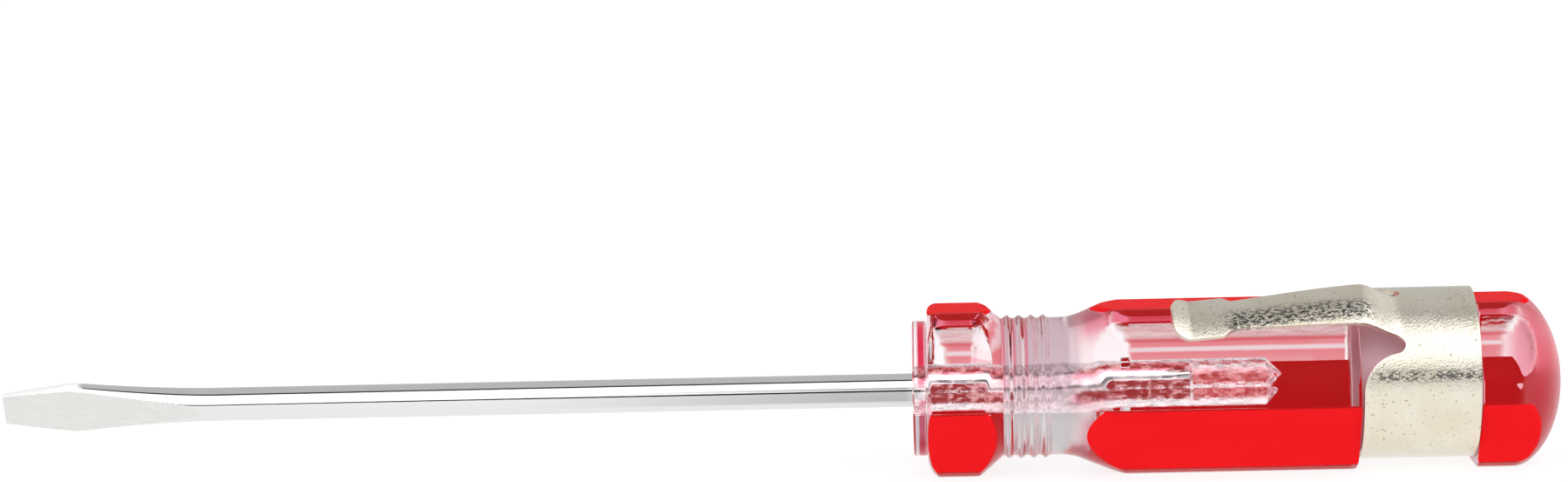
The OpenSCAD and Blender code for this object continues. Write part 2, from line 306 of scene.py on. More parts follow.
# Place of the edge between a flat and the one next to it (step 1 or -1), along the flat
def flatEdge(k, step):
    turn, reach = barFlat(k)
    nextTurn, nextReach = barFlat(k + step)
    between = np.angle(np.exp(1j * (nextTurn - turn)))
    return (nextReach - reach * np.cos(between)) / np.sin(between)


# Distance of the bar's surface from the axis: each flat is its own distance over the cosine of the
# angle to it, and the least of them counts
def barRadius(angles):
    flats = []
    least = barSizes["leastCosine"]
    for k in range(12):
        turn, reach = barFlat(k)
        cosine = np.cos(angles - turn)
        flats.append(np.where(cosine > least, reach / np.maximum(cosine, least), 10 * reach))
    return softLeast(barSizes["creasePower"], *flats)


# Angles about the axis: close together at the bar's corners and at the light line on its back, and in
# pairs at the red flats' edges
def barAngles():
    size = barSizes
    rim = size["panelRim"] + size["panelEdge"]
    corner = np.linspace(-size["cornerSpan"], size["cornerSpan"], size["cornerSamples"])
    angles = list(np.arange(0, 360, size["sampleStep"])) + list(np.arange(*size["glintSamples"]))
    for k in range(12):
        turn, reach = barFlat(k)
        angles += list(np.degrees(turn + np.arctan2(flatEdge(k, 1), reach)) + corner)
    for k in redFlats:
        turn, reach = barFlat(k)
        for step in (-1, 1):
            edge = np.degrees(turn + np.arctan2(flatEdge(k, step) - step * rim, reach))
            angles += [edge - size["rimSplit"], edge + size["rimSplit"]]
    angles = np.unique(np.round(np.mod(angles, 360), 4))
    keep = np.append(np.diff(angles) > size["leastStep"], True)
    return np.radians(angles[keep])


# Turned outline of the handle

turnSizes = {
    "face": 76.2,
    "frontShift": 0.4,       # the turned front is off the bar's axis, towards the viewer and up
    "frontLift": 0.2,
    "flangeLength": 1.1,
    "flangeDiameter": 11.2,
    "flangeEdge": 0.2,
    "collarLength": 4.2,
    "collarChamfer": 2.1,
    "ridges": 4,
    "ridgePitch": 1.0,
    "ridgeHeight": 0.24,
    "ridgePower": 1.3,
    "neckDiameter": 11.4,
    "neckLength": 0.7,
    "sweepRadius": 4.7,
    "sweepAngle": 22.3,
    "bodyLength": 19.0,
    "bodyChamfer": 0.35,
    "shiftEnd": 3,           # the front's shift ends this far before the body does
    "grooveLength": 9.75,
    "grooveDiameter": 11.2,
    "grooveCorner": 0.1,
    "capLength": 7.0,
    "capEdge": 0.4,
    "domeDepth": 4.6,
    "endFlat": 4.3,
    "margin": 0.08,
    "boreLength": 29.1,
    "boreDiameter": 2.84,
    "boreMouth": 0.08,
    "drillAngle": 92,
    "gap": 0.1,              # stretches of the outline stop short of each other by about this
}


# The outline as places along X and distances from the axis, from the bore's drill point back to the
# face and then along the outside to the domed end. Round stretches are arcs, a ridge is a raised cosine.
def turnedOutline():
    size = turnSizes
    gap = size["gap"]
    outer = cornerRadius + size["margin"]
    flange = size["flangeDiameter"] / 2
    neck = size["neckDiameter"] / 2
    groove = size["grooveDiameter"] / 2
    bore = size["boreDiameter"] / 2
    face = size["face"]
    flangeEnd = face + size["flangeLength"]
    collarEnd = flangeEnd + size["collarLength"]
    ridgeStart = collarEnd + size["collarChamfer"]
    ridgeEnd = ridgeStart + size["ridges"] * size["ridgePitch"]
    sweepStart = ridgeEnd + size["neckLength"]
    angle = np.radians(size["sweepAngle"])
    climb = outer - neck - size["sweepRadius"] * (1 - np.cos(angle))
    sweepEnd = sweepStart + size["sweepRadius"] * np.sin(angle)
    bodyStart = sweepEnd + climb / np.tan(angle)
    bodyEnd = bodyStart + size["bodyLength"]
    shiftEnd = bodyEnd - size["shiftEnd"]
    capStart = bodyEnd + size["grooveLength"]
    end = capStart + size["capLength"]
    domeStart = end - size["domeDepth"]
    boreEnd = face + size["boreLength"]
    drillTip = boreEnd + bore / np.tan(np.radians(size["drillAngle"] / 2))
    path = []

    def line(x0, r0, x1, r1, steps):
        share = np.linspace(0, 1, steps + 1)
        path.append(np.stack([x0 + (x1 - x0) * share, r0 + (r1 - r0) * share], -1))

    def arc(x, r, radius, first, last, steps):
        turn = np.radians(np.linspace(first, last, steps + 1))
        path.append(np.stack([x + radius * np.cos(turn), r + radius * np.sin(turn)], -1))

    # Bore, its mouth, the face and the flange
    mouth, edge = size["boreMouth"], size["flangeEdge"]
    line(drillTip - 0.1 * gap, 0.1 * gap, boreEnd, bore, 8)
    line(boreEnd - 0.2 * gap, bore, face + gap, bore, 36)
    arc(face + mouth, bore + mouth, -mouth, 90, 0, 4)
    line(face, bore + 1.5 * mouth, face, flange - edge, 10)
    arc(face + edge, flange - edge, edge, 180, 90, 6)
    line(face + edge + gap / 2, flange, flangeEnd - gap / 2, flange, 6)
    # Collar, ridges and neck. The turned front is off the bar's axis, so its ends run on outwards by
    # that much.
    past = size["frontShift"]
    shoulder = outer + past - flange
    arc(flangeEnd + shoulder, flange, shoulder, 180, 90, 36)
    coneStart = collarEnd - past * size["collarChamfer"] / (outer - neck)
    line(flangeEnd + shoulder + gap, outer + past, coneStart - gap, outer + past, 4)
    line(coneStart, outer + past, ridgeStart - gap / 2, neck + gap / 2, 30)
    share = np.linspace(0, size["ridges"], size["ridges"] * 20 + 1)
    wave = (0.5 - 0.5 * np.cos(2 * np.pi * share)) ** size["ridgePower"]
    path.append(np.stack([ridgeStart + size["ridgePitch"] * share, neck + size["ridgeHeight"] * wave], -1))
    line(ridgeEnd + gap, neck, sweepStart - gap, neck, 3)
    # Sweep up to the body, and the body
    arc(sweepStart, neck + size["sweepRadius"], size["sweepRadius"], -90, -90 + size["sweepAngle"], 20)
    frontEnd = bodyStart + past / np.tan(angle)
    line(sweepEnd + gap, outer - climb + gap * np.tan(angle), frontEnd, outer + past, 56)
    line(frontEnd + 3 * gap, outer + past, shiftEnd, outer + past, 12)
    chamfer = size["bodyChamfer"]
    line(shiftEnd + 2 * gap, outer, bodyEnd - chamfer, outer, 8)
    line(bodyEnd - chamfer + 0.4 * gap, outer - 0.4 * gap, bodyEnd, outer - chamfer, 4)
    # Groove for the clip's ring
    corner = size["grooveCorner"]
    line(bodyEnd, outer - chamfer - 0.8 * gap, bodyEnd, groove + 1.2 * corner, 10)
    arc(bodyEnd + corner, groove + corner, -corner, 0, 90, 4)
    line(bodyEnd + 2 * corner, groove, capStart - 2 * corner, groove, 24)
    arc(capStart - corner, groove + corner, -corner, 90, 180, 4)
    # End cap with its dome, an arc stretched along X
    edge = size["capEdge"]
    line(capStart, groove + 1.5 * corner, capStart, outer - edge - gap / 2, 10)
    arc(capStart + edge, outer - edge, edge, 180, 90, 8)
    line(capStart + edge + gap, outer, domeStart - gap / 2, outer, 12)
    flat = size["endFlat"] / 2
    reach = size["domeDepth"] / np.sqrt(1 - (flat / outer) ** 2)
    turn = np.linspace(0, np.arccos(flat / outer), 40)
    path.append(np.stack([domeStart + reach * np.sin(turn), outer * np.cos(turn)], -1))
    line(end, flat - gap, end, 0.2 * gap, 8)
    path = np.vstack(path)
    # Where the outside starts, and the share of the front's shift: all of it from the flange on, none in
    # the bore and behind the body
    outside = np.arange(len(path)) >= np.argmax(path[:, 0] <= face + 1e-6)
    shifted = rise(path[:, 1], bore + 3 * gap, flange - bore - 6 * gap) * outside
    shifted[path[:, 0] > shiftEnd + gap] = 0
    return path, shifted, outside


def makeHandle():
    size = barSizes
    outline, shifted, outside = turnedOutline()
    angles = barAngles()
    bar = barRadius(angles)
    along, turned = outline[:, 0], outline[:, 1]
    # A circle of radius r shifted by s towards angle a lies s cos(t) + sqrt(r^2 - s^2 sin(t)^2) away,
    # with t the angle from a
    shift = np.hypot(turnSizes["frontShift"], turnSizes["frontLift"])
    towards = angles - np.arctan2(turnSizes["frontLift"], turnSizes["frontShift"])
    step = (shift * shifted)[:, None]
    turned = step * np.cos(towards) + np.sqrt(turned[:, None] ** 2 - (step * np.sin(towards)) ** 2)
    outside = outside[:, None]
    radii = np.where(outside, softLeast(size["creasePower"], turned, bar[None, :]), turned)
    # Under a red flat the clear surface lies inside the red layer
    rim = size["panelRim"] + size["panelEdge"]
    for k in redFlats:
        turn, reach = barFlat(k)
        away = np.angle(np.exp(1j * (angles - turn)))
        across = reach * np.tan(np.clip(away, -size["facing"], size["facing"]))
        under = (across > flatEdge(k, -1) + rim) & (across < flatEdge(k, 1) - rim)
        under &= np.abs(away) < size["facing"]
        bed = (reach - size["panelBed"]) / np.cos(away)
        lowered = np.minimum(radii - size["panelEdge"], bed[None, :])
        thick = radii * np.cos(away)[None, :] > reach - size["panelDepth"]
        radii = np.where(under[None, :] & outside & thick, lowered, radii)
    handle = bodyRound("handle_clear", along, angles, radii)
    colourHandleWithPaintedLight(handle)
    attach(handle, "handle_body")
    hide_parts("handle")
    return handle


handleColoursAndPaintedLight = {
    # Colours over the clear plastic. Sweep, cone, flange, streak, narrow, back and dome are painted
    # refraction of the red flats, neck is painted shade, behind is painted light and glint is a painted
    # highlight line.
    "colours": {
        "clear": (0.975, 0.925, 0.945),
        "neck": (0.60, 0.45, 0.50),
        "sweep": (0.86, 0.16, 0.25),
        "cone": (0.90, 0.24, 0.32),
        "flange": (0.72, 0.03, 0.08),
        "streak": (0.74, 0.07, 0.14),
        "narrow": (0.74, 0.04, 0.09),
        "behind": (0.99, 0.96, 0.98),
        "back": (0.57, 0.03, 0.045),
        "glint": (0.67, 0.44, 0.47),
        "dome": (0.88, 0.16, 0.24),
        "groove": (0.97, 0.70, 0.77),
        "bore": (0.97, 0.93, 0.94),
    },
    # First and last place along X, and how soft its ends are
    "zones": {
        "neck": (83.4, 90, 0.6),
        "sweep": (88, 100, 0.5),
        "cone": (81, 83.7, 0.5),
        "flange": (76.62, 77.25, 0.12),
        "groove": (112.6, 122.5, 0.1),
        "collarMatt": (77.3, 87.5, 0.5),
        "sweepMatt": (87.5, 100, 1),
    },
    # Start and length of a smooth ramp, along X or in degrees
    "ramps": {
        "sweep": (89.1, 1.8),
        "dome": (124.5, 2.5),
        "aboveNeck": (-20, 20),
        "high": (5, 25),
        "low": (25, 15),
        "redAbove": (35, 20),
        "redBelow": (8, 12),
    },
    # Middle, half width and soft edge, in degrees; the narrow flats are counted from the top
    "bands": {
        "narrow": (30, 6.2, 0.5),
        "behind": (150, 23, 0.5),
        "back": (178.5, 9.5, 2),
        "glint": (177.4, 0.7, 1.4),
    },
    "streaks": (83.75, 84.6, 85.6),
    "streakWidth": 0.22,
    "leastRed": 0.15,
    "leastCone": 0.45,
    "lowStreak": 0.5,
    "roughness": {
        "moulded": 0.012,
        "collarMatt": 0.03,
        "sweepMatt": 0.16,
        "bore": 0.16,
        "dome": 0.25,
        "groove": 0.4,
    },
    "haze": {"bore": 0.04, "dome": 0.14},
    # The bore lies inside a radius and up to a place along X, the flats and the flange's rim further out
    "insideBore": (1.6, 106),
    "flatsOutside": 5,
    "rimOutside": 4.5,
    "turnedSoft": 0.05,
}


# Roughness, haze and colour at each point of the handle. It is polished where it was moulded and duller where
# it was turned. On the turned parts and the flats the colour holds painted refraction of the red flats seen
# through the plastic, a painted shade on the neck, painted light on the back flats and a painted highlight
# line along the back.
def colourHandleWithPaintedLight(handle):
    looks = handleColoursAndPaintedLight
    x, y, z = pointsOf(handle).T
    turn, far = np.arctan2(z, -y), np.hypot(y, z)
    degrees = np.degrees(turn)
    fromFront = degrees % 360
    boreRadius, boreEnd = looks["insideBore"]
    turned = rise(barRadius(turn), far, looks["turnedSoft"]) * (far > boreRadius)
    flat = (1 - turned) * (far > looks["flatsOutside"])
    bore = ((far < boreRadius) & (x < boreEnd)).astype(float)

    def zone(name):
        first, last, soft = looks["zones"][name]
        return rise(x, first - soft / 2, soft) * rise(-x, -last - soft / 2, soft)

    def ramp(name, value):
        start, length = looks["ramps"][name]
        return smoothStep((value - start) / length)
    high = ramp("high", degrees)
    low = ramp("low", -degrees)
    dome = ramp("dome", x) * turned
    # Where the red flats would show through the sweep, for its painted refraction
    red = np.maximum(ramp("redAbove", degrees), ramp("redBelow", -degrees)) * (y < 0)
    red = looks["leastRed"] + (1 - looks["leastRed"]) * red
    colour = np.tile(looks["colours"]["clear"], (len(x), 1))

    def colourWithPaintedLight(name, share):
        colour[:] += (np.array(looks["colours"][name]) - colour) * share[:, None]
    # Painted shade: a mauve darkening over the upper neck
    colourWithPaintedLight("neck", zone("neck") * turned * ramp("aboveNeck", degrees))
    # Painted refraction of the red flats on the turned sweep, cone, flange and ridges
    colourWithPaintedLight("sweep", ramp("sweep", x) * zone("sweep") * turned * red)
    colourWithPaintedLight("cone", zone("cone") * turned * (looks["leastCone"] + (1 - looks["leastCone"]) * low))
    colourWithPaintedLight("flange", zone("flange") * (far > looks["rimOutside"]) * np.maximum(high, low))
    streak = turned * np.maximum(high, looks["lowStreak"] * low)
    for middle in looks["streaks"]:
        colourWithPaintedLight("streak", band(x, middle, 0, looks["streakWidth"]) * streak)
    # Painted refraction of the red flats on the narrow flats
    colourWithPaintedLight("narrow", band(np.abs(fromFront - 90), *looks["bands"]["narrow"]) * flat)
    # On the back flats: painted light (behind), painted refraction of the red flats (back) and a painted
    # highlight line (glint)
    for name in ("behind", "back", "glint"):
        colourWithPaintedLight(name, band(fromFront, *looks["bands"][name]) * flat)
    # Painted refraction of the red flats on the dome
    colourWithPaintedLight("dome", dome)
    colourWithPaintedLight("groove", zone("groove"))
    colourWithPaintedLight("bore", bore)
    rough = looks["roughness"]
    matt = rough["moulded"] + rough["bore"] * bore + rough["dome"] * dome
    matt += turned * (rough["collarMatt"] * zone("collarMatt") + rough["sweepMatt"] * zone("sweepMatt"))
    mark(handle, "matt", np.maximum(matt, rough["groove"] * zone("groove")))
    mark(handle, "bore", bore)
    mark(handle, "haze", looks["haze"]["bore"] * bore + looks["haze"]["dome"] * dome)
    tints = handle.data.attributes.new("colourWithPaintedLight", "FLOAT_COLOR", "POINT")
    opaque = np.column_stack([colour, np.ones(len(x))])
    tints.data.foreach_set("color", opaque.astype(np.float32).ravel())


clearLook = {
    "ior": 1.4,
    "glossTint": (0.2, 0.2, 0.2, 1),
    "frosted": (0.33, 0.4, 1.0, 0.4),    # roughness from and to, and the light that passes at each
    "wavesScale": (220, 700, 700),
    "wavesHeight": 0.35,
    "grainScale": (2600, 2600, 2600),
    "grainHeight": 0.06,
    "crazedScale": (1100, 1900, 1900),
    "crazedHeight": 8.0,
    "crackScale": (1100, 2400, 2400),
    "crackGlow": (0.47, 0.58, 0.0, 0.26),
    "glowColour": (1, 0.78, 0.82, 1),
    "bump": (0.04, 0.5),                 # distance and strength
}


def clearPlastic():
    look = clearLook
    nodes = newMaterial("clear_plastic_polished")
    matt = nodes.attribute("matt")
    bore = nodes.attribute("bore")
    passed = nodes.calculate("SUBTRACT", nodes.between(matt, *look["frosted"]), nodes.attribute("haze"))
    waves = nodes.times(nodes.noise(look["wavesScale"], 2.0), look["wavesHeight"])
    grain = nodes.times(nodes.noise(look["grainScale"], 2.0), look["grainHeight"])
    # The drilled bore is crazed all over and scatters a little light, and it glows a little in a crackle
    # pattern: painted light.
    crazed = nodes.times(nodes.noise(look["crazedScale"], 3.0, 0.6), nodes.times(bore, look["crazedHeight"]))
    paintedGlow = nodes.between(nodes.noise(look["crackScale"], 4.0, 0.7), *look["crackGlow"])
    nodes.shade(IOR=look["ior"], Specular_Tint=look["glossTint"], Base_Color=nodes.attribute("colourWithPaintedLight", "Color"),
                Roughness=matt, Transmission_Weight=passed,
                Emission_Color=look["glowColour"], Emission_Strength=nodes.times(bore, paintedGlow))
    nodes.bump(nodes.plus(nodes.plus(waves, grain), crazed), *look["bump"])
    return nodes.owner


redLook = {
    "ior": 1.02,
    "tones": ((0.70, 0.010, 0.013), (0.73, 0.012, 0.015)),
    "toneScale": (90, 240, 240),
    "glowColour": (0.9, 0.004, 0.008, 1),
    "glow": 0.12,
    "roughness": (0.2, 0.3),
    "roughnessScale": (900, 900, 900),
    "wavesScale": (700, 900, 900),
    "bump": (0.03, 0.35),
}


def redPlastic():
    look = redLook
    nodes = newMaterial("red_plastic_glossy")
    # The red flats glow a little: painted light that keeps their red deep and bright
    nodes.shade(IOR=look["ior"], Emission_Color=look["glowColour"], Emission_Strength=look["glow"],
                Base_Color=nodes.tones(nodes.noise(look["toneScale"], 2.0), *look["tones"]),
                Roughness=nodes.spread(nodes.noise(look["roughnessScale"]), *look["roughness"]))
    nodes.bump(nodes.noise(look["wavesScale"]), *look["bump"])
    return nodes.owner


# Blade

bladeSizes = {
    "tipWidth": 2.7,
    "tipThickness": 0.5,
    "flareWidth": 4.5,
    "flareAt": 5.9,
    "groundLength": 17.5,
    "flarePower": 1.6,
    "runOut": (1, 0.6),              # length and rise of the grind's end
    "widthTurn": 68,
    "shankDiameter": 2.8,
    "length": 99.3,
    "chamfer": 0.3,
    "creasePower": 160,
    "endBevel": 0.04,
    "wingsAt": 93.3,
    "wings": (0.9, 3.8, 0.8),
    "wingPower": 0.25,
    "wingGrid": (25, 48),
    "angleStep": 1.5,
    "crowding": 0.42,
    "groundSoft": 0.04,
    "brightUpTo": (7.2, 0.8),        # narrow sides near the end: length and soft edge
    "paintedReflectionFrom": (40, 36),            # painted dark reflection grows from here, over this length
    "paintedReflectionLine": (16, 1.5, 3),        # middle, half width and soft edge in degrees
    "paintedReflectionStrip": (16, 4, -36, 8),    # upper edge, its softness, lower edge, its softness
    "paintedReflectionShares": (0.85, 0.45),
}


# Distance of the blade's surface from the axis. A section is an ellipse as wide as the blade and as
# thick as the shank, cut by two flats that close in towards the end.
def makeBlade():
    size = bladeSizes
    shank = size["shankDiameter"] / 2
    tip, widest = size["tipWidth"] / 2, size["flareWidth"] / 2
    flare, ground = size["flareAt"], size["groundLength"]
    bevel = size["endBevel"]
    chamferStart = size["length"] - size["chamfer"]
    along = np.concatenate([
        np.linspace(0, bevel, 4),
        np.linspace(0.15, flare - 0.12, 26),
        np.linspace(flare - 0.08, flare + 0.08, 7),
        np.linspace(flare + 0.2, ground, 90),
        np.linspace(ground + 0.4, chamferStart, 60),
        np.linspace(chamferStart + 0.03, size["length"], 5)])
    narrowing = (1 - rise(along, flare, ground - flare)) ** size["flarePower"]
    widening = tip + (widest - tip) * along / flare
    halfWidth = np.where(along < flare, widening, shank + (widest - shank) * narrowing)
    edge = size["tipThickness"] / 2
    runLength, runRise = size["runOut"]
    halfThick = edge + (shank - edge) * rise(along, 0, ground)
    halfThick += runRise * rise(along, ground - runLength, runLength) ** 2
    halfThick = np.where(along >= ground, 10 * shank, halfThick)
    # Samples crowd towards the blade's edges, where a section bends most
    angles = np.radians(np.arange(0, 360, size["angleStep"]))
    angles = angles - size["crowding"] * np.sin(2 * angles)
    sine, cosine = np.sin(angles), np.cos(angles)
    ellipse = 1 / np.sqrt((cosine / halfWidth[:, None]) ** 2 + (sine / shank) ** 2)
    flats = halfThick[:, None] / np.maximum(np.abs(sine), 1e-3)
    radii = softLeast(size["creasePower"], ellipse, flats)
    radii -= (1 - rise(along, 0, bevel))[:, None] ** 2 * bevel
    radii -= np.clip(along - chamferStart, 0, None)[:, None]
    blade = bodyRound("blade_steel", along, angles + np.radians(size["widthTurn"]), radii)
    onFlat = rise(ellipse, flats, size["groundSoft"]) * (along < ground)[:, None]
    markBlade(blade, along, angles, onFlat)
    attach(blade, "handle_body")
    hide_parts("blade")
    return blade


# Writes how far each point lies on a ground flat, read off the grid that made the surface, on the narrow side
# near the end, and on the painted dark reflection, a line and a strip on the shank towards the handle
def markBlade(blade, along, angles, onFlat):
    size = bladeSizes
    x, y, z = pointsOf(blade).T
    turn = np.arctan2(z, -y)
    row = np.clip(np.searchsorted(along, x - 1e-4), 0, len(along) - 1)
    order = np.mod(angles, 2 * np.pi)
    sort = np.argsort(order)
    fromWidth = np.mod(turn - np.radians(size["widthTurn"]), 2 * np.pi)
    column = np.searchsorted(order[sort], fromWidth - 1e-4)
    ground = onFlat[row, sort[column % len(sort)]]
    last, soft = size["brightUpTo"]
    near = rise(-x, -last, soft)
    degrees = np.degrees(turn)
    start, length = size["paintedReflectionFrom"]
    upper, upperSoft, lower, lowerSoft = size["paintedReflectionStrip"]
    strip = rise(-degrees, -upper, upperSoft) * rise(degrees, lower, lowerSoft)
    # Painted reflection: a dark line and a darker strip below it on the front of the shank, growing towards
    # the handle
    paintedShankReflection = np.maximum(size["paintedReflectionShares"][0] * band(degrees, *size["paintedReflectionLine"]), size["paintedReflectionShares"][1] * strip)
    mark(blade, "ground", np.maximum(ground, near))
    mark(blade, "edge", near * (1 - ground))
    mark(blade, "paintedShankReflection", smoothStep((x - start) / length) * paintedShankReflection * (x < start + length + 1))


# Pressed wings of the tang: a box with rounded corners, as a power sphere
def makeWings():
    size = bladeSizes
    length, width, thick = size["wings"]
    rows, columns = size["wingGrid"]
    tilt, around = np.meshgrid(np.linspace(-np.pi / 2, np.pi / 2, rows),
                               np.linspace(0, 2 * np.pi, columns, endpoint=False), indexing="ij")

    def power(value):
        return np.sign(value) * np.abs(value) ** size["wingPower"]
    x = size["wingsAt"] + length / 2 * (1 + power(np.sin(tilt)))
    wide = width / 2 * power(np.cos(tilt)) * power(np.cos(around))
    tall = thick / 2 * power(np.cos(tilt)) * power(np.sin(around))
    turn = np.radians(size["widthTurn"])
    y = -wide * np.cos(turn) + tall * np.sin(turn)
    z = wide * np.sin(turn) + tall * np.cos(turn)
    wings = makeMesh("tang_wings", *cappedGrid(np.stack([x, y, z], -1).reshape(-1, 3), rows, columns))
    turnOutwards(wings)
    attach(wings, "handle_body")
    return wings


steelLook = {
    "plated": (0.77, 0.775, 0.77),
    # colour of the painted dark reflection on the shank
    "paintedShankReflection": (0.12, 0.12, 0.13),
    "brushed": ((0.70, 0.70, 0.68), (0.78, 0.78, 0.76)),
    "bright": (1.0, 1.0, 1.0),
    "platedRoughness": (0.015, 0.045),
    "groundRoughness": (0.32, 0.5),
    "edgeRoughness": 0.35,
    "platedScale": (300, 2500, 2500),
    "scratchScale": (700, 9000, 9000),
    "wavesScale": (350, 2600, 2600),
    "wavesHeight": 0.12,
    "bump": (0.03, 0.5),
}


# Mirror plating on the shank with a painted dark reflection towards the handle, and brushed steel on the
# ground flats with bright narrow sides
def bladeSteel():
    look = steelLook
    nodes = newMaterial("blade_steel_plated")
    ground, edge, paintedShankReflection = (nodes.attribute(name) for name in ("ground", "edge", "paintedShankReflection"))
    scratches = nodes.noise(look["scratchScale"], 4.0, 0.6)
    bright = nodes.mix(edge, nodes.tones(scratches, *look["brushed"]), look["bright"])
    plated = nodes.mix(paintedShankReflection, look["plated"], look["paintedShankReflection"])
    smooth = nodes.spread(nodes.noise(look["platedScale"]), *look["platedRoughness"])
    rough = nodes.spread(scratches, *look["groundRoughness"])
    rough = nodes.plus(rough, nodes.times(edge, look["edgeRoughness"]))
    nodes.shade(Metallic=1.0, Base_Color=nodes.mix(ground, plated, bright),
                Roughness=nodes.mix(ground, smooth, rough, "FLOAT"))
    waves = nodes.times(nodes.noise(look["wavesScale"]), look["wavesHeight"])
    nodes.bump(nodes.plus(waves, nodes.times(scratches, ground)), *look["bump"])
    return nodes.owner


# Clip

clipSizes = {
    "sheet": 0.42,
    "ringDiameter": 14.1,
    "ringWidth": 9.45,
    "ringAt": 112.85,
    "grooveDiameter": 11.2,
    "fit": 0.05,
    "seam": 0.12,
    "turn": 52,
    "notchDepth": 3.4,
    "notchRadius": 0.75,
    "notchSweep": 70,
    "earRadius": 3.3,
    "earSweep": 81,
    "humpHeight": 9.6,
    "footGap": 0.15,
    "riser": 3.5,
    "reach": 13.8,
    "rootWidth": 4.4,
    "neckWidth": 3.1,
    "footWidth": 4.3,
    "footLength": 2.6,
    "shoulder": 0.8,
    "shoulderSoft": 0.1,
    "lip": 1.5,
    "lipAngle": 23,
    "lipRadius": 1.3,
    "lipFold": 0.3,
    "crownRadius": 8.5,
    "easeShare": 0.32,
    "fallPower": 1.3,
    "bevel": 0.07,
    "bevelAngle": 50,
    "merge": 0.002,
    "samplesAcross": 19,
    "ringRows": 22,
    "gather": 0.4,                    # how much the ring's rows gather at its edges
    "bendLength": 2.5,
    "bendSlant": (-0.507, 0.862),     # the riser's direction: along X and out
}


# From the clip's own axes (across, out along the arm's side, along X) to the frame
def clipPlace(across, out, along):
    turn = np.radians(clipSizes["turn"])
    y = -np.cos(turn) * out + np.sin(turn) * across
    z = np.sin(turn) * out + np.cos(turn) * across
    return np.stack([along, y, z], -1)


# The ring: rows from its front edge to its straight back edge, rolled round the axis
def clipRing(ring, shift, rootX):
    size = clipSizes
    notch = size["notchRadius"]
    notchMiddle = size["rootWidth"] / 2 + notch
    sweep = np.radians(90 - size["notchSweep"])
    ear = size["earRadius"]
    earMiddle = ear + notchMiddle + notch * np.cos(sweep)
    crossShare = np.linspace(-1, 1, size["samplesAcross"])
    # Front edge on one side: along the arm's root, round the notch, round the ear, then to the seam.
    # Each point is a distance round the ring and a place along X.
    turn = np.linspace(np.pi / 2, sweep, 14)[1:]
    notchEdge = np.stack([notchMiddle + notch * np.cos(turn), rootX - notch + notch * np.sin(turn)], -1)
    turn = np.radians(np.linspace(270 - size["earSweep"], 270, 22))
    earEdge = np.stack([earMiddle + ear * np.cos(turn), size["ringAt"] + ear + ear * np.sin(turn)], -1)
    toSeam = np.linspace(earMiddle, np.pi * ring - size["seam"] / 2, 56)[1:]
    backEdge = np.stack([toSeam, np.full(len(toSeam), size["ringAt"])], -1)
    oneSide = np.vstack([notchEdge, earEdge, backEdge])
    root = np.stack([notchMiddle * crossShare, np.full(len(crossShare), rootX)], -1)
    front = np.vstack([oneSide[::-1] * (-1, 1), root, oneSide])
    share = np.linspace(0, 1, size["ringRows"])
    rows = smoothStep(share) * size["gather"] + share * (1 - size["gather"])
    around = np.broadcast_to(front[:, 0], (len(rows), len(front)))
    along = front[:, 1] + (size["ringAt"] + size["ringWidth"] - front[:, 1]) * rows[:, None]
    points = clipPlace(ring * np.sin(around / ring), shift + ring * np.cos(around / ring), along)
    return points.reshape(-1, 3), gridFaces(len(rows), len(front), False)[:, ::-1]


